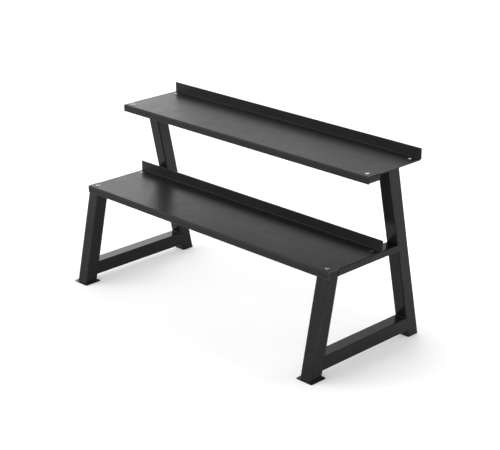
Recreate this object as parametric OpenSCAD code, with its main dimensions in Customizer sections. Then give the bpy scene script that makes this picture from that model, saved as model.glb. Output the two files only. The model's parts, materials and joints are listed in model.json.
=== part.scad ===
// Two-tier dumbbell rack: two welded side frames of square tube carry two
// folded sheet shelves, held down by button-head screws into weld nuts.
// Millimetres. X runs along the shelves, +Y points to the rear, +Z is up.
// The origin is on the floor, at the centre of the rack's bounding box.

/* [Frame] */
// Distance between the outer faces of the two side frames
frame_len = 1200; // [900:10:1600]
// Depth on the floor, from the front foot plates to the rear legs
base_depth = 553; // [540:1:580]
// Outer size of the square tube
tube = 50; // [40:1:50]
// Wall thickness of the square tube
tube_wall = 3; // [2:0.5:3]
// Outer corner radius of every tube
tube_r = 4; // [2:0.5:4]
// Lean of the legs from the vertical, in degrees
lean = 12; // [10:0.5:12]
// Height of the bottom bar's underside above the floor
bottom_bar_z = 26; // [20:1:60]
// Height of the flat tube that carries the lower shelf
mid_arm_h = 25; // [20:1:30]
// Wall thickness of that flat tube
mid_arm_wall = 2.5; // [2:0.5:3]

/* [Shelves] */
// Height of the lower shelf's top surface
lower_z = 364.5; // [355:0.5:375]
// Height of the upper shelf's top surface
upper_z = 640.5; // [620:0.5:660]
// Front edge of the lower shelf
lower_front_y = -197; // [-198:0.5:-196]
// Front edge of the upper shelf
upper_front_y = -14; // [-20:0.5:-5]
// Depth of each shelf, front to back
shelf_depth = 266; // [255:1:275]
// Thickness of the shelf sheet
sheet = 2.5; // [2:0.5:3]
// Outer radius of the folds in the sheet
fold_r = 4; // [3.5:0.5:5]
// Height of the front lip, which is folded down
front_lip_h = 25.5; // [22:0.5:30]
// Height of the rear lip above the shelf surface
rear_lip_h = 36.5; // [30:0.5:45]
// Height of the side flanges, which are folded down
side_flange_h = 23; // [18:1:25]
// Length of the upper shelf's side flanges, back from the front edge
upper_flange_len = 55; // [40:1:70]
// Start of the lower shelf's side flanges, just behind the front legs
lower_flange_y = -146; // [-147:0.5:-130]

/* [Plates] */
// Width of the front foot plates
foot_w = 68; // [56:1:72]
// Front-to-back length of the foot plates
foot_l = 68; // [62:1:74]
// Thickness of the foot plates and of the rear legs' end caps
foot_t = 4; // [3:0.5:6]
// Gap from the foot plate's front edge to the front leg's front face
foot_step = 7.5; // [7:0.5:8.5]
// Thickness of the plates that close the tops of the legs
cap_t = 3; // [2:0.5:4]

/* [Fasteners] */
// Distance of each screw from the shelf's front or rear edge
screw_inset = 25; // [22:0.5:28]
// Nominal diameter of the screws
screw_d = 8; // [6:1:8]
// Length of the screws under the head
screw_len = 16; // [14:1:20]
// Diameter of the button head
head_d = 13; // [12:0.5:15]
// Height of the button head
head_h = 1.6; // [1.4:0.1:4]
// Outer diameter of the washers
washer_d = 15.5; // [15:0.5:18]
// Thickness of the washers
washer_t = 1; // [0.8:0.1:2]
// Width of the nuts across their flats
nut_af = 13; // [12:0.5:14]
// Height of the nuts
nut_h = 6.5; // [5:0.5:7]

/* [Hidden] */

$fn = 48;
eps = 0.01;
POWDER_COAT = "#2b2b2e";
ZINC = "#c3c6c9";

outer_x = frame_len / 2;                 // outer face of a side frame
leg_x = outer_x - tube / 2;              // centre plane of a side frame
front_y = -base_depth / 2 + foot_step;   // front leg's front face, at the floor
rear_y = base_depth / 2;                 // rear leg's rear face, at the floor
leg_depth = tube / cos(lean);            // a leaning leg, measured level
shelf_x = outer_x + sheet;               // end face of a shelf, outside the frame
lower_under = lower_z - sheet;           // underside of the lower shelf
upper_under = upper_z - sheet;           // underside of the upper shelf
screw_hole_d = screw_d + 1;
min_inner_r = 0.5;                       // smallest radius inside a tube's corner
fit = 0.1;                               // clearance between loose pieces
lip_corner_r = 3;                        // upright corner of the upper shelf
shelf_yz = [[lower_front_y, lower_z], [upper_front_y, upper_z]];

// ---- helpers ----

// A rectangle with round corners, centred.
module round_rect(w, h, r) {
    square([w, h - 2 * r], center = true);
    square([w - 2 * r, h], center = true);
    for (x = [-1, 1], y = [-1, 1])
        translate([x * (w / 2 - r), y * (h / 2 - r)]) circle(r);
}

// A hollow tube section, centred.
module tube_section(w, h, wall) {
    difference() {
        round_rect(w, h, tube_r);
        round_rect(w - 2 * wall, h - 2 * wall, max(tube_r - wall, min_inner_r));
    }
}

// Everything between two levels, as a mask.
module slab(z0, z1) {
    big = 2000;
    translate([-big / 2, -big / 2, z0]) cube([big, big, z1 - z0]);
}

// Stands its children, a section centred on the origin, up as the front leg.
module front_leaning() {
    translate([leg_x, front_y, 0]) rotate([-lean, 0, 0]) translate([0, tube / 2, -tube])
        linear_extrude(upper_z + 2 * tube) children();
}

// Stands its children up as the rear leg.
module rear_leaning() {
    translate([leg_x, rear_y, 0]) rotate([lean, 0, 0]) translate([0, -tube / 2, -tube])
        linear_extrude(upper_z + 2 * tube) children();
}

// The space between the two legs of one side frame, as a mask. Its sides lean with the legs.
module between_legs() {
    rise = upper_z;
    shift = rise * tan(lean);
    front = front_y + leg_depth;
    rear = rear_y - leg_depth;
    translate([leg_x - tube, 0, 0]) rotate([90, 0, 90]) linear_extrude(2 * tube)
        polygon([[front, 0], [rear, 0], [rear - shift, rise], [front + shift, rise]]);
}

// A level tube that fits between the legs; its underside is at z.
module cross_tube(z, h, wall) {
    intersection() {
        translate([leg_x, 0, z + h / 2]) rotate([90, 0, 0])
            linear_extrude(base_depth, center = true) tube_section(tube, h, wall);
        between_legs();
    }
}

// Copies its children to both ends of the rack.
module both_ends() {
    children();
    mirror([1, 0, 0]) children();
}

// Puts its children on the left side frame.
module on_left() {
    mirror([1, 0, 0]) children();
}

// Puts its children at a shelf's four screw places, with z = 0 at the given level.
module at_screws(front, z) {
    for (y = [front + screw_inset, front + shelf_depth - screw_inset])
        both_ends() translate([leg_x, y, z]) children();
}

// ---- side frames ----

module front_leg() {
    color(POWDER_COAT) difference() {
        intersection() {
            front_leaning() tube_section(tube, tube, tube_wall);
            slab(foot_t, lower_under);
        }
        // The leg's front wall makes room for the shelf's front lip.
        translate([leg_x - tube, front_y, lower_z - front_lip_h])
            cube([2 * tube, lower_front_y + sheet + fit - front_y, front_lip_h]);
    }
}

module front_leg_cap() {
    inner = tube - 2 * tube_wall - 2 * fit;
    color(POWDER_COAT) difference() {
        intersection() {
            front_leaning() round_rect(inner, inner, max(tube_r - tube_wall, min_inner_r));
            slab(lower_under - cap_t, lower_under);
        }
        at_screws(lower_front_y, lower_under - cap_t - eps)
            cylinder(h = cap_t + 2 * eps, d = screw_hole_d);
    }
}

module front_foot_plate() {
    corner_r = 3;
    color(POWDER_COAT) translate([leg_x, -base_depth / 2 + foot_l / 2, 0])
        linear_extrude(foot_t) round_rect(foot_w, foot_l, corner_r);
}

module rear_leg() {
    color(POWDER_COAT) intersection() {
        rear_leaning() tube_section(tube, tube, tube_wall);
        slab(foot_t, upper_under - cap_t);
    }
}

module rear_leg_end_cap() {
    color(POWDER_COAT) intersection() {
        rear_leaning() round_rect(tube, tube, tube_r);
        slab(0, foot_t);
    }
}

module bottom_bar() {
    color(POWDER_COAT) cross_tube(bottom_bar_z, tube, tube_wall);
}

module mid_arm() {
    color(POWDER_COAT) difference() {
        cross_tube(lower_under - mid_arm_h, mid_arm_h, mid_arm_wall);
        at_screws(lower_front_y, lower_under - mid_arm_wall - eps)
            cylinder(h = mid_arm_wall + 2 * eps, d = screw_hole_d);
    }
}

module top_plate() {
    end_gap = 2;
    plate_y = upper_front_y + sheet + end_gap;
    plate_l = shelf_depth - 2 * sheet - 2 * end_gap;
    color(POWDER_COAT) difference() {
        translate([outer_x - tube, plate_y, upper_under - cap_t]) cube([tube, plate_l, cap_t]);
        at_screws(upper_front_y, upper_under - cap_t - eps)
            cylinder(h = cap_t + 2 * eps, d = screw_hole_d);
    }
}

// ---- shelves ----

// A quarter of a ring: one fold of the sheet, filling the quadrant that a square of its size covers.
module fold() {
    intersection() {
        difference() {
            circle(fold_r);
            circle(fold_r - sheet);
        }
        square(fold_r + eps);
    }
}

// The sheet's section across the shelf, drawn with the front edge at 0 and the top surface at 0.
module shelf_section() {
    flat_l = shelf_depth - 2 * fold_r;
    translate([fold_r, -sheet]) square([flat_l, sheet]);
    translate([fold_r, -fold_r]) rotate(90) fold();
    translate([0, -front_lip_h]) square([sheet, front_lip_h - fold_r]);
    translate([fold_r + flat_l, fold_r - sheet]) rotate(-90) fold();
    translate([shelf_depth - sheet, fold_r - sheet]) square([sheet, rear_lip_h - fold_r + sheet]);
}

// The part outside a round arris, for cutting along an edge at the origin of its corner.
module arris(r) {
    translate([-r, -r]) difference() {
        square(r + 1);
        circle(r);
    }
}

// One side flange, with its top arris rounded by side_arris_cut.
module side_flange(y0, y1) {
    translate([outer_x, y0, -side_flange_h]) cube([sheet, y1 - y0, side_flange_h - sheet / 2]);
}

module side_arris_cut(y0, y1) {
    translate([shelf_x, y1, 0]) rotate([90, 0, 0]) linear_extrude(y1 - y0) arris(fold_r);
}

// A shelf with its front edge and its top surface at 0, and with flanges from y0 to y1 at both ends.
module shelf(y0, y1) {
    difference() {
        union() {
            rotate([90, 0, 90]) linear_extrude(2 * shelf_x, center = true) shelf_section();
            both_ends() side_flange(y0, y1);
        }
        both_ends() side_arris_cut(y0 - eps, y1 + eps);
        at_screws(0, -sheet - eps) cylinder(h = sheet + 2 * eps, d = screw_hole_d);
    }
}

module lower_shelf() {
    color(POWDER_COAT) translate([0, lower_front_y, lower_z])
        shelf(lower_flange_y - lower_front_y, shelf_depth - fold_r);
}

module upper_shelf() {
    color(POWDER_COAT) translate([0, upper_front_y, upper_z]) difference() {
        shelf(0, upper_flange_len);
        // The front lip and the side flange meet in a round upright corner.
        both_ends() translate([shelf_x, 0, -front_lip_h - eps]) rotate(-90)
            linear_extrude(front_lip_h + 1) arris(lip_corner_r);
    }
}

// ---- fasteners ----

// A button-head screw, with the underside of its head at 0.
module button_screw() {
    dome_r = (pow(head_d / 2, 2) + pow(head_h, 2)) / (2 * head_h);
    socket_af = 5;
    socket_depth = 2.6;
    difference() {
        union() {
            intersection() {
                translate([0, 0, head_h - dome_r]) sphere(dome_r);
                cylinder(h = head_h + 1, d = head_d);
            }
            translate([0, 0, -screw_len]) cylinder(h = screw_len + eps, d = screw_d - fit);
        }
        translate([0, 0, head_h - socket_depth])
            cylinder(h = socket_depth + 1, d = socket_af / cos(30), $fn = 6);
    }
}

module washer() {
    difference() {
        cylinder(h = washer_t, d = washer_d);
        translate([0, 0, -eps]) cylinder(h = washer_t + 2 * eps, d = screw_d + 0.4);
    }
}

// A hexagonal weld nut, hanging from 0.
module weld_nut() {
    translate([0, 0, -nut_h]) difference() {
        cylinder(h = nut_h, d = nut_af / cos(30), $fn = 6);
        translate([0, 0, -eps]) cylinder(h = nut_h + 2 * eps, d = screw_d);
    }
}

module shelf_screws(front, z) {
    color(ZINC) at_screws(front, z + washer_t) button_screw();
}

module shelf_washers(front, z) {
    color(ZINC) at_screws(front, z) washer();
}

module lower_shelf_nuts() {
    // The front pair hangs from the leg caps, the rear pair from the mid arms' top walls.
    color(ZINC) both_ends() {
        translate([leg_x, lower_front_y + screw_inset, lower_under - cap_t]) weld_nut();
        translate([leg_x, lower_front_y + shelf_depth - screw_inset, lower_under - mid_arm_wall]) weld_nut();
    }
}

module upper_shelf_nuts() {
    color(ZINC) at_screws(upper_front_y, upper_under - cap_t) weld_nut();
}

on_left() front_leg();  // left_front_leg
on_left() front_leg_cap();  // left_front_leg_cap
on_left() front_foot_plate();  // left_front_foot_plate
on_left() rear_leg();  // left_rear_leg
on_left() rear_leg_end_cap();  // left_rear_leg_end_cap
on_left() bottom_bar();  // left_bottom_bar
on_left() mid_arm();  // left_mid_arm
on_left() top_plate();  // left_top_plate
front_leg();  // right_front_leg
front_leg_cap();  // right_front_leg_cap
front_foot_plate();  // right_front_foot_plate
rear_leg();  // right_rear_leg
rear_leg_end_cap();  // right_rear_leg_end_cap
bottom_bar();  // right_bottom_bar
mid_arm();  // right_mid_arm
top_plate();  // right_top_plate
lower_shelf();
upper_shelf();
shelf_screws(lower_front_y, lower_z);  // lower_shelf_screws
shelf_screws(upper_front_y, upper_z);  // upper_shelf_screws
shelf_washers(lower_front_y, lower_z);  // lower_shelf_washers
shelf_washers(upper_front_y, upper_z);  // upper_shelf_washers
lower_shelf_nuts();
upper_shelf_nuts();
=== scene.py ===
"""Two-tier dumbbell rack: finishes, weld seams, floor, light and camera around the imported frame."""

import json
import math

import bmesh
import bpy
from mathutils import Matrix, Vector, noise


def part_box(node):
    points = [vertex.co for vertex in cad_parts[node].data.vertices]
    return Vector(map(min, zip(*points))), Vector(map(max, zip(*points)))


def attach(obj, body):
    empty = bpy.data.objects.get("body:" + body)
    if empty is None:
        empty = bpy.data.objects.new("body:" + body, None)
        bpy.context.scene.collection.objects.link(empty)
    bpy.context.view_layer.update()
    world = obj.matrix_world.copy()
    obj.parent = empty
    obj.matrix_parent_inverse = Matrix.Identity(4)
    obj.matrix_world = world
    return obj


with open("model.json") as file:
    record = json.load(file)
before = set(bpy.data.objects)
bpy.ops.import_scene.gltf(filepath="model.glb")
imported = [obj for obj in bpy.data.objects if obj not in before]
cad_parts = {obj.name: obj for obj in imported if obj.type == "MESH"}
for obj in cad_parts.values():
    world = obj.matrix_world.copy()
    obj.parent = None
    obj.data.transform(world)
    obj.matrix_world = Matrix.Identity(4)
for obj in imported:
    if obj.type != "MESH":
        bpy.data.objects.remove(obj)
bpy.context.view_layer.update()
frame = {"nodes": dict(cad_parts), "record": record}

SCENE = bpy.context.scene
NODES = frame["nodes"]
BODY = "root"
SIDES = {"left": -1, "right": 1}
MM = 0.001
X = Vector((1.0, 0.0, 0.0))
Y = Vector((0.0, 1.0, 0.0))
Z = Vector((0.0, 0.0, 1.0))

# ---------------------------------------------------------------- camera

VIEW_AZIMUTH = 45.1842        # degrees, round from the rack's front towards its right
VIEW_ELEVATION = 20.7269      # degrees above level
VIEW_ROLL = -0.1455           # degrees
VIEW_TARGET = Vector((-0.031289, 0.083649, 0.2835))
VIEW_DISTANCE = 5.052404
FOCAL_PER_WIDTH = 2.800092    # focal length over the sensor's width
SENSOR_WIDTH = 36.0           # mm
CLIP_START, CLIP_END = 0.1, 200.0


def make_camera():
    """The photograph's camera, which looks at the rack from its front right."""
    az, el = math.radians(VIEW_AZIMUTH), math.radians(VIEW_ELEVATION)
    back = Vector((math.sin(az) * math.cos(el), -math.cos(az) * math.cos(el), math.sin(el)))
    right = Vector((math.cos(az), math.sin(az), 0.0))
    up = back.cross(right)
    roll = Matrix.Rotation(math.radians(VIEW_ROLL), 3, "Z")
    turn = Matrix((right, up, back)).transposed() @ roll
    data = bpy.data.cameras.new("camera")
    data.sensor_width = SENSOR_WIDTH
    data.lens = FOCAL_PER_WIDTH * SENSOR_WIDTH
    data.clip_start, data.clip_end = CLIP_START, CLIP_END
    camera = bpy.data.objects.new("camera", data)
    camera.location = VIEW_TARGET + back * VIEW_DISTANCE
    camera.rotation_mode = "QUATERNION"
    camera.rotation_quaternion = turn.to_quaternion()
    SCENE.collection.objects.link(camera)
    SCENE.camera = camera


# ---------------------------------------------------------------- shader nodes

NOISE_MIDDLE = (0.35, 0.65)   # the part of a noise's range that most of its values fall in


def math_node(tree, operation, *operands):
    """The output of a Math node whose operands are numbers or other nodes' outputs."""
    node = tree.nodes.new("ShaderNodeMath")
    node.operation = operation
    for socket, value in zip(node.inputs, operands):
        if isinstance(value, (int, float)):
            socket.default_value = value
        else:
            tree.links.new(value, socket)
    return node.outputs["Value"]


class Nodes:
    """Adds and links the nodes of one new material, which ends in a Principled shader."""

    def __init__(self, name):
        self.material = bpy.data.materials.new(name)
        self.material.use_nodes = True
        self.tree = self.material.node_tree
        self.tree.nodes.clear()
        out = self.add("ShaderNodeOutputMaterial")
        self.shader = self.add("ShaderNodeBsdfPrincipled")
        self.link(self.shader, "BSDF", out, "Surface")

    def add(self, kind, **values):
        """A new node; each value sets the node's own property or, failing that, its input."""
        node = self.tree.nodes.new(kind)
        for key, value in values.items():
            if hasattr(node, key):
                setattr(node, key, value)
            else:
                node.inputs[key.replace("_", " ")].default_value = value
        return node

    def link(self, a, a_name, b, b_name):
        """Links an output of node a to an input of node b."""
        self.tree.links.new(a.outputs[a_name], b.inputs[b_name])

    def set_shader(self, **values):
        """Constants on the shader's own sockets; an underscore stands for a space."""
        for key, value in values.items():
            self.shader.inputs[key.replace("_", " ")].default_value = value

    def noise(self, size, detail=2.0, roughness=0.5, stretch=None):
        """Noise whose blobs are about size metres across."""
        coords = self.add("ShaderNodeTexCoord")
        tex = self.add("ShaderNodeTexNoise", Scale=1.0 / size, Detail=detail, Roughness=roughness)
        if stretch:
            mapping = self.add("ShaderNodeMapping", Scale=stretch)
            self.link(coords, "Object", mapping, "Vector")
            self.link(mapping, "Vector", tex, "Vector")
        else:
            self.link(coords, "Object", tex, "Vector")
        return tex

    def spread(self, source, output, low, high, from_low=0.3, from_high=0.7):
        """A value between low and high that follows the source between its own two bounds."""
        node = self.add("ShaderNodeMapRange", clamp=True, From_Min=from_low, From_Max=from_high,
                        To_Min=low, To_Max=high)
        self.link(source, output, node, "Value")
        return node

    def edge_mask(self, radius, gain, peak):
        """Up to peak on arrises, where a rounded normal leaves the true one, and 0 on flats."""
        bevel = self.add("ShaderNodeBevel", samples=4, Radius=radius)
        true = self.add("ShaderNodeNewGeometry")
        dot = self.add("ShaderNodeVectorMath", operation="DOT_PRODUCT")
        self.link(bevel, "Normal", dot, 0)
        self.link(true, "Normal", dot, 1)
        return self.spread(dot, "Value", peak, 0.0, 1.0 - gain, 1.0)

    def mix(self, factor, first, second):
        """A colour from first to second, each an RGB tuple or a node with a Result."""
        node = self.add("ShaderNodeMix", data_type="RGBA")
        self.link(factor, "Result", node, "Factor")
        for socket, value in (("A", first), ("B", second)):
            if isinstance(value, tuple):
                node.inputs[socket].default_value = (*value, 1.0)
            else:
                self.link(value, "Result", node, socket)
        return node

    def bump(self, texture, height, under=None):
        """A relief of the given height in metres, on top of the relief under it."""
        node = self.add("ShaderNodeBump", Strength=1.0, Distance=height)
        self.link(texture, "Fac", node, "Height")
        if under is not None:
            self.link(under, "Normal", node, "Normal")
        return node


# ---------------------------------------------------------------- materials

FRAME_BLACK = ((0.0054, 0.0053, 0.0062), (0.0073, 0.0072, 0.0082))
SHELF_BLACK = ((0.0066, 0.0066, 0.0068), (0.0090, 0.0090, 0.0092))
COAT_SPECULAR = 0.14
COAT_IOR = 1.5
COAT_CLOUD = 0.09             # size of the coat's patches of tone, in metres
COAT_GLOSS_PATCH = 0.035      # size of its patches of gloss
EDGE_WEAR_AND_HIGHLIGHT_RADIUS = 0.0015          # how far from an arris the coat is rubbed and the painted highlight reaches
EDGE_WEAR_AND_HIGHLIGHT_GAIN = 0.25              # how far the rounded normal turns before the wear and painted highlight are full

ZINC = ((0.33, 0.335, 0.345), (0.46, 0.465, 0.48))
PLAIN_STEEL = ((0.22, 0.22, 0.225), (0.34, 0.34, 0.345))
METAL_MOTTLE = 0.004          # size of the metal's patches of tone
METAL_GLOSS_PATCH = 0.0016    # size of its patches of gloss
SCRATCH_SIZE = 0.0009
SCRATCH_STRETCH = (1.0, 1.0, 6.0)
# Painted shade: the dark tone put into the metal's recesses, such as screw sockets.
RECESS_PAINTED_SHADE = (0.025, 0.024, 0.022)
RECESS = 0.004                # how near a surface faces another one where shade is painted
PAINTED_SHADE_OPENNESS = (0.30, 0.85) # full painted shade below the first figure, and none above the second


def powder_coat(name, dark, light, rough, peel, grain, wear_and_highlight):
    """Black powder coat: orange peel, fine grain, uneven gloss, and a lighter film on arrises that is
    partly rubbed wear and partly a painted highlight.

    rough is (low, high); peel and grain are (size, height) in metres; wear_and_highlight is (tone,
    amount)."""
    b = Nodes(name)
    b.set_shader(Metallic=0.0, IOR=COAT_IOR, Specular_IOR_Level=COAT_SPECULAR)

    tone = b.spread(b.noise(COAT_CLOUD, detail=3.0), "Fac", 0.0, 1.0, *NOISE_MIDDLE)
    coat = b.mix(tone, dark, light)
    wear_and_highlight_tone, wear_and_highlight_amount = wear_and_highlight
    # Lighter tone on the arrises: partly rubbed wear, partly a painted highlight.
    rubbed_and_highlighted = b.edge_mask(EDGE_WEAR_AND_HIGHLIGHT_RADIUS, EDGE_WEAR_AND_HIGHLIGHT_GAIN, wear_and_highlight_amount)
    b.link(b.mix(rubbed_and_highlighted, coat, (wear_and_highlight_tone,) * 3), "Result", b.shader, "Base Color")

    gloss = b.noise(COAT_GLOSS_PATCH, detail=4.0, roughness=0.6)
    b.link(b.spread(gloss, "Fac", *rough), "Result", b.shader, "Roughness")

    peel_size, peel_height = peel
    grain_size, grain_height = grain
    relief = b.bump(b.noise(peel_size, detail=1.0), peel_height)
    relief = b.bump(b.noise(grain_size, detail=2.0), grain_height, relief)
    b.link(relief, "Normal", b.shader, "Normal")
    return b.material


def bright_metal(name, dark, light, rough, scratch_height):
    """Zinc or plain steel: mottled tone, fine scratches, uneven gloss, and painted shade in recesses.
    """
    b = Nodes(name)
    b.set_shader(Metallic=1.0)

    tone = b.spread(b.noise(METAL_MOTTLE, detail=3.0), "Fac", 0.0, 1.0, *NOISE_MIDDLE)
    metal = b.mix(tone, dark, light)
    # Painted shade: the tone darkens where the surface is enclosed, as in screw sockets and under
    # heads.
    openness = b.add("ShaderNodeAmbientOcclusion", samples=6, Distance=RECESS)
    unshaded = b.spread(openness, "AO", 0.0, 1.0, *PAINTED_SHADE_OPENNESS)
    b.link(b.mix(unshaded, RECESS_PAINTED_SHADE, metal), "Result", b.shader, "Base Color")

    gloss = b.noise(METAL_GLOSS_PATCH, detail=3.0)
    b.link(b.spread(gloss, "Fac", *rough), "Result", b.shader, "Roughness")

    scratches = b.noise(SCRATCH_SIZE, detail=2.0, stretch=SCRATCH_STRETCH)
    b.link(b.bump(scratches, scratch_height), "Normal", b.shader, "Normal")
    return b.material


MATERIALS = {
    # Each coat's wear tone is partly rubbed wear and partly a painted highlight along its arrises.
    "frame_powder_coat": powder_coat(
        "frame_powder_coat", *FRAME_BLACK, rough=(0.16, 0.22),
        peel=(0.0032, 0.000005), grain=(0.0007, 0.0000006), wear_and_highlight=(0.035, 0.6)),
    "shelf_powder_coat": powder_coat(
        "shelf_powder_coat", *SHELF_BLACK, rough=(0.30, 0.36),
        peel=(0.0024, 0.000004), grain=(0.0006, 0.000001), wear_and_highlight=(0.10, 0.85)),
    "zinc_fasteners": bright_metal(
        "zinc_fasteners", *ZINC, rough=(0.24, 0.38), scratch_height=0.00001),
    "plain_weld_nuts": bright_metal(
        "plain_weld_nuts", *PLAIN_STEEL, rough=(0.40, 0.60), scratch_height=0.00002),
}


def finish_cad_nodes():
    """Gives every CAD node the material of its slot in the record."""
    slots = {part["node"]: part["material_slot"] for part in frame["record"]["subparts"]}
    for name, obj in NODES.items():
        for slot in obj.material_slots:
            slot.material = MATERIALS[slots[name]]


# ---------------------------------------------------------------- weld seams

LEAN = math.radians(12.0)     # of a leg, from upright
TUBE_CORNER = 4.0 * MM        # outer radius along a tube's arrises
SEAM_INSET = 0.9 * TUBE_CORNER      # from a tube's side to the end of a bead across it
GROOVE_INSET = 0.8 * TUBE_CORNER    # from a cross tube's top or bottom to a groove's end

BAR_BEAD = 1.9 * MM           # a bead's width on each face, at the bottom bar, foot and top plate
ARM_BEAD = 1.8 * MM           # and at the mid arm
BEAD_STEP = 0.0011            # distance between rings along a bead
BEAD_STEPS_MIN = 4
BEAD_RIPPLE = 0.0034          # distance between the scales of a bead
BEAD_POINTS = 7               # points across a bead's face
BEAD_EMBED = 0.0005           # how deep a bead's root sits in the two pieces
BEAD_LOW = 0.90               # a bead's size between two scales, as a share of its width
BEAD_SCALE = 0.12             # what a scale adds to that
BEAD_WOBBLE = 0.10            # what the slow unevenness adds or takes
BEAD_WOBBLE_RATE = 90.0       # how quickly the unevenness changes, per metre
BEAD_END = 0.35               # share of its size that a bead has at its two ends
BEAD_END_RUN = 1.5            # how gently it grows from there, in widths
BEAD_SWELL = 0.10             # how far its face bulges, as a share of its width
BEAD_SWELL_LOW = 0.6          # share of the bulge that is left between two scales

GROOVE_STEP = 2.0 * MM        # distance between rings along a filled groove
GROOVE_STEPS_MIN = 3
GROOVE_SINK = 0.25 * MM       # how far a filled groove stays below the tubes' sides
GROOVE_SWELL = 0.16 * MM      # how far its middle stands above its edges
GROOVE_ACROSS = (1.02, 0.5, 0.2)    # from the joint to its face's points, in corner radii
GROOVE_RIPPLE = 0.06 * MM     # how uneven its face is
GROOVE_RIPPLE_RATE = 240.0    # how quickly that changes, per metre
GROOVE_LAP = 0.3 * MM         # how far it reaches into the cross tube, and past the corners
GROOVE_ROOT = 0.5 * MM        # how far its root reaches into the leg
GROOVE_END = 0.2              # share of its height that it has at its two ends
GROOVE_END_RATE = 6.0         # how quickly it grows from there, per whole length
GROOVE_END_SINK = 0.5 * TUBE_CORNER    # how much deeper it would lie with no height at all


def add_skin(bm, rings):
    """A closed tube of faces through rings of points, with a face at each end."""
    rings = [[bm.verts.new(point) for point in ring] for ring in rings]
    for near, far in zip(rings, rings[1:]):
        for j in range(len(near)):
            k = (j + 1) % len(near)
            bm.faces.new((near[j], near[k], far[k], far[j]))
    bm.faces.new(rings[0])
    bm.faces.new(list(reversed(rings[-1])))


def bead_section(along_a, along_b, leg, swell):
    """Points of a fillet weld's section, from the corner; its face is an arc between two legs."""
    points = []
    for i in range(BEAD_POINTS):
        t = i / (BEAD_POINTS - 1)
        bulge = 4.0 * t * (1.0 - t) * swell
        points.append(along_a * (leg * (1.0 - t) + bulge) + along_b * (leg * t + bulge))
    points.append(along_b * leg - along_a * BEAD_EMBED)
    points.append(-(along_a + along_b) * BEAD_EMBED)
    points.append(along_a * leg - along_b * BEAD_EMBED)
    return points


def weld_bead(bm, start, end, along_a, along_b, leg, seed):
    """One seam from start to end, in the corner between two faces.

    along_a and along_b lie in the faces, leg is the bead's width on each of them, and seed makes
    its unevenness its own."""
    run = end - start
    steps = max(BEAD_STEPS_MIN, round(run.length / BEAD_STEP))
    rings = []
    for i in range(steps + 1):
        t = i / steps
        distance = t * run.length
        wobble = noise.noise(Vector((distance * BEAD_WOBBLE_RATE, seed, 0.3)))
        scale = abs(math.sin(math.pi * distance / BEAD_RIPPLE))
        size = leg * (BEAD_LOW + BEAD_SCALE * scale + BEAD_WOBBLE * wobble)
        from_end = min(distance, run.length - distance)
        size *= min(1.0, BEAD_END + from_end / (BEAD_END_RUN * leg))
        swell = BEAD_SWELL * leg * (BEAD_SWELL_LOW + scale)
        centre = start + run * t
        rings.append([centre + point for point in bead_section(along_a, along_b, size, swell)])
    add_skin(bm, rings)


def groove_fill(bm, side_x, out, low, high, end_y, toward, seed):
    """A seam, ground almost flush, where a cross tube's side meets the rounded corner of a leg.

    side_x is the side's X and out its outward sign. The seam runs up from low to high, end_y
    gives the joint's Y at a height, toward is the sign of Y from the leg to the cross tube, and
    seed makes its ripple its own."""
    steps = max(GROOVE_STEPS_MIN, round((high - low) / GROOVE_STEP))
    rings = []
    for i in range(steps + 1):
        t = i / steps
        z = low + (high - low) * t
        y = end_y(z)
        taper = min(1.0, GROOVE_END + GROOVE_END_RATE * min(t, 1.0 - t))
        ripple = GROOVE_RIPPLE * noise.noise(Vector((z * GROOVE_RIPPLE_RATE, seed, 1.7)))
        outer = side_x - out * (GROOVE_SINK + GROOVE_END_SINK * (1.0 - taper) - ripple)
        crest = outer + out * GROOVE_SWELL * taper
        inner = side_x - out * (TUBE_CORNER + GROOVE_LAP)
        face_y = [y - toward * radii * TUBE_CORNER for radii in GROOVE_ACROSS]
        rings.append([
            Vector((outer, face_y[0], z)),
            Vector((crest, face_y[1], z)),
            Vector((crest, face_y[2], z)),
            Vector((outer, y + toward * GROOVE_LAP, z)),
            Vector((inner, y + toward * GROOVE_LAP, z)),
            Vector((inner, y - toward * GROOVE_ROOT, z)),
        ])
    add_skin(bm, rings)


def mesh_object(name, bm, slot):
    """A visible piece on the rack's body, with the material of the slot."""
    bmesh.ops.recalc_face_normals(bm, faces=bm.faces)
    mesh = bpy.data.meshes.new(name)
    bm.to_mesh(mesh)
    bm.free()
    for face in mesh.polygons:
        face.use_smooth = True
    mesh.materials.append(MATERIALS[slot])
    obj = bpy.data.objects.new(name, mesh)
    SCENE.collection.objects.link(obj)
    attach(obj, BODY)


def leaning_line(y, z, slope):
    """A function that gives the Y, at any height, of a line that leans through y and z."""
    return lambda height: y + (height - z) * slope


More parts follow.
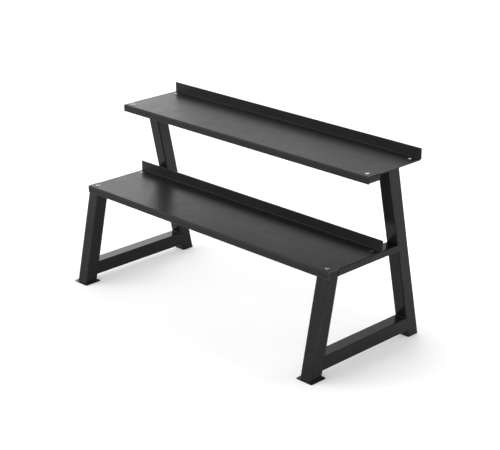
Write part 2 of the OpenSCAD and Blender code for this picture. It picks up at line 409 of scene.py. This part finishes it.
def side_frame_welds(side):
    """The seams of one side frame: the cross tubes' ends, the foot plate and the top plate."""
    s = SIDES[side]
    bm = bmesh.new()
    bar_lo, bar_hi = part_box(side + "_bottom_bar")
    arm_lo, arm_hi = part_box(side + "_mid_arm")
    x0, x1 = bar_lo.x + SEAM_INSET, bar_hi.x - SEAM_INSET
    slope = math.tan(LEAN)
    up_front = Vector((0.0, math.sin(LEAN), math.cos(LEAN)))      # up the front leg's faces
    up_rear = Vector((0.0, -math.sin(LEAN), math.cos(LEAN)))      # up the rear leg's faces

    def across(y, z, along_a, along_b, leg, seed):
        """A bead across the tube's width."""
        weld_bead(bm, Vector((x0, y, z)), Vector((x1, y, z)), along_a, along_b, leg, seed)

    # A cross tube's box ends where its lower edge meets the legs. The arm's upper edge is left
    # out, because the shelf lies on it.
    above, below = 1, -1
    for lo, hi, leg, edges in ((bar_lo, bar_hi, BAR_BEAD, (above, below)),
                               (arm_lo, arm_hi, ARM_BEAD, (below,))):
        front_y = leaning_line(lo.y, lo.z, slope)
        rear_y = leaning_line(hi.y, lo.z, -slope)
        for edge in edges:
            z = hi.z if edge == above else lo.z
            across(front_y(z), z, Y, up_front * edge, leg, z * 31 + s)
            across(rear_y(z), z, -Y, up_rear * edge, leg, z * 37 + s)
        z_low, z_high = lo.z + GROOVE_INSET, hi.z - GROOVE_INSET
        for side_x, out in ((bar_lo.x, -1), (bar_hi.x, 1)):
            groove_fill(bm, side_x, out, z_low, z_high, front_y, 1, lo.z * 11 + side_x)
            groove_fill(bm, side_x, out, z_low, z_high, rear_y, -1, lo.z * 13 + side_x)

    # Round the foot of the front leg, on the foot plate.
    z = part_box(side + "_front_foot_plate")[1].z
    leg_lo, leg_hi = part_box(side + "_front_leg")
    y_front = leg_lo.y
    y_back = bar_lo.y - (bar_lo.z - z) * slope
    across(y_front, z, -Y, up_front, BAR_BEAD, 1.7 + s)
    across(y_back, z, Y, up_front, BAR_BEAD, 2.9 + s)
    for x, out in ((leg_lo.x, -X), (leg_hi.x, X)):
        start, end = Vector((x, y_front + SEAM_INSET, z)), Vector((x, y_back - SEAM_INSET, z))
        weld_bead(bm, start, end, out, Z, BAR_BEAD, 4.1 + x)

    # Across the top of the rear leg, under the top plate.
    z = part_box(side + "_top_plate")[0].z
    rear_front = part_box(side + "_rear_leg")[0].y
    rear_back = rear_front + (leg_hi.x - leg_lo.x) / math.cos(LEAN)
    across(rear_front, z, -Y, -up_rear, BAR_BEAD, 5.3 + s)
    across(rear_back, z, Y, -up_rear, BAR_BEAD, 6.1 + s)
    mesh_object(side + "_weld_seams", bm, "frame_powder_coat")


# ---------------------------------------------------------------- floor and backdrop

WHITE = (1.0, 1.0, 1.0, 1.0)
BLACK = (0.0, 0.0, 0.0, 1.0)
FLOOR_SIZE = 60.0
FLOOR_TONE = 0.86
FLOOR_ROUGHNESS = 0.9
FLOOR_SPECULAR = 0.1
FLOOR_GLOW = 0.225            # a lit-up white sweep: keeps the floor pale between the soft shadows
FAR_GLOW = 0.30               # what the glow gains away from the rack, past the soft boxes' reach
FAR_FROM, FAR_TO = 1.8, 4.5   # from the rack's middle: where that gain starts and is complete
GLOW_POOLS = (
    # place, strength, sharpness: pools of light on the floor, which the tubes mirror
    ((1.35, -0.45, 0.0), 9.0, 12.0),
    ((4.3, -4.3, 0.0), 10.0, 0.5),
    ((0.4, 1.15, 0.0), 1.6, 5.0),
    ((-4.6, -4.4, 0.0), 1.4, 0.7),
)
BACKDROP_RADIUS = 28.0
BACKDROP_HEIGHT = 14.0
BACKDROP_SIDES = 64


def stage_object(name, bm, material):
    """A piece of the studio, which isn't part of the rack."""
    mesh = bpy.data.meshes.new(name)
    bm.to_mesh(mesh)
    bm.free()
    mesh.materials.append(material)
    obj = bpy.data.objects.new(name, mesh)
    SCENE.collection.objects.link(obj)
    return obj


def make_floor():
    """A pale floor that glows: evenly near the rack, more far away, and in a few soft pools."""
    b = Nodes("studio_floor")
    b.set_shader(Base_Color=(FLOOR_TONE, FLOOR_TONE, FLOOR_TONE, 1.0), Roughness=FLOOR_ROUGHNESS,
                 Specular_IOR_Level=FLOOR_SPECULAR, Emission_Color=WHITE)
    place = b.add("ShaderNodeNewGeometry")
    reach = b.add("ShaderNodeVectorMath", operation="LENGTH")
    b.link(place, "Position", reach, 0)
    far = b.spread(reach, "Value", FLOOR_GLOW, FLOOR_GLOW + FAR_GLOW, FAR_FROM, FAR_TO)
    glow = far.outputs["Result"]
    for centre, strength, sharpness in GLOW_POOLS:
        gap = b.add("ShaderNodeVectorMath", operation="DISTANCE")
        gap.inputs[1].default_value = centre
        b.link(place, "Position", gap, 0)
        squared = math_node(b.tree, "MULTIPLY", gap.outputs["Value"], gap.outputs["Value"])
        power = math_node(b.tree, "MULTIPLY", squared, -sharpness)
        pool = math_node(b.tree, "MULTIPLY", math_node(b.tree, "EXPONENT", power), strength)
        glow = math_node(b.tree, "ADD", pool, glow)
    b.tree.links.new(glow, b.shader.inputs["Emission Strength"])
    bm = bmesh.new()
    bmesh.ops.create_grid(bm, x_segments=1, y_segments=1, size=FLOOR_SIZE / 2)
    stage_object("floor", bm, b.material)


def make_backdrop():
    """A plain white wall all round, far away, for views that look above the floor."""
    b = Nodes("studio_backdrop")
    b.set_shader(Base_Color=BLACK, Emission_Color=WHITE, Emission_Strength=1.0)
    bm = bmesh.new()
    bmesh.ops.create_cone(bm, segments=BACKDROP_SIDES, radius1=BACKDROP_RADIUS,
                          radius2=BACKDROP_RADIUS, depth=BACKDROP_HEIGHT, cap_ends=False)
    wall = stage_object("backdrop", bm, b.material)
    for ray in ("diffuse", "glossy", "transmission", "volume_scatter", "shadow"):
        setattr(wall, "visible_" + ray, False)


# ---------------------------------------------------------------- light

SKY_EVEN = 0.01
SKY_LOBES = (
    # direction, sharpness, strength: large soft sources round the rack
    ((-1.0, 0.0, 0.12), 10.0, 2.65),
    ((-0.707, -0.707, 0.12), 10.0, 5.6),
    ((0.707, 0.707, 0.12), 10.0, 1.1),
    ((0.707, -0.707, 0.12), 10.0, 1.0),
    ((0.664, -0.746, 0.04), 60.0, 10.0),
    ((1.0, 0.0, 0.12), 10.0, 0.58),
    ((0.0, 1.0, 0.12), 10.0, 0.28),
    ((-0.66, 0.66, 0.45), 10.0, 0.86),
    ((0.0, 0.0, 1.0), 3.0, 0.42),
)
RACK_MIDDLE = (0.0, 0.0, 0.35)
SOFT_BOXES = (
    # name, place, aim, width, height, power in watts
    ("top_back", (-0.6, 1.6, 2.8), RACK_MIDDLE, 2.0, 2.0, 30.0),
    ("left_back", (-2.9, 1.3, 1.1), RACK_MIDDLE, 1.6, 1.2, 8.8),
    ("back_left", (-2.4, 1.9, 1.5), RACK_MIDDLE, 1.6, 1.2, 2.0),
    ("left_high", (-2.0, 0.0, 2.6), RACK_MIDDLE, 2.0, 2.0, 3.7),
    ("front_high", (0.3, -3.2, 2.6), RACK_MIDDLE, 2.4, 2.0, 32.6),
    ("front_left_high", (-2.2, -2.4, 3.0), RACK_MIDDLE, 2.4, 2.4, 21.6),
    ("floor_back_right", (1.9, 1.6, 1.3), (1.9, 1.6, 0.0), 1.2, 1.2, 11.0),
)


def make_sky():
    """An even sky with broad lobes of light, each strength * e ** (sharpness * (cosine - 1))."""
    world = bpy.data.worlds.new("studio")
    world.use_nodes = True
    tree = world.node_tree
    background = tree.nodes["Background"]
    background.inputs["Color"].default_value = WHITE
    coords = tree.nodes.new("ShaderNodeTexCoord")
    total = SKY_EVEN
    for direction, sharpness, strength in SKY_LOBES:
        dot = tree.nodes.new("ShaderNodeVectorMath")
        dot.operation = "DOT_PRODUCT"
        dot.inputs[1].default_value = Vector(direction).normalized()
        tree.links.new(coords.outputs["Generated"], dot.inputs[0])
        fall = math_node(tree, "SUBTRACT", dot.outputs["Value"], 1.0)
        power = math_node(tree, "MULTIPLY", fall, sharpness)
        lobe = math_node(tree, "MULTIPLY", math_node(tree, "EXPONENT", power), strength)
        total = math_node(tree, "ADD", lobe, total)
    tree.links.new(total, background.inputs["Strength"])
    SCENE.world = world


def soft_box(name, place, aim, width, height, power):
    """A rectangular softbox that the camera doesn't see."""
    data = bpy.data.lights.new(name, "AREA")
    data.shape = "RECTANGLE"
    data.size, data.size_y = width, height
    data.energy = power
    obj = bpy.data.objects.new(name, data)
    obj.location = place
    obj.rotation_mode = "QUATERNION"
    obj.rotation_quaternion = (Vector(aim) - Vector(place)).to_track_quat("-Z", "Y")
    obj.visible_camera = False
    SCENE.collection.objects.link(obj)


def make_light():
    """The sky, the softboxes and a plain display transform."""
    make_sky()
    for box in SOFT_BOXES:
        soft_box(*box)
    SCENE.view_settings.view_transform = "Standard"
    SCENE.view_settings.look = "None"


# ---------------------------------------------------------------- build

finish_cad_nodes()
for side in SIDES:
    side_frame_welds(side)
make_floor()
make_backdrop()
make_light()
make_camera()
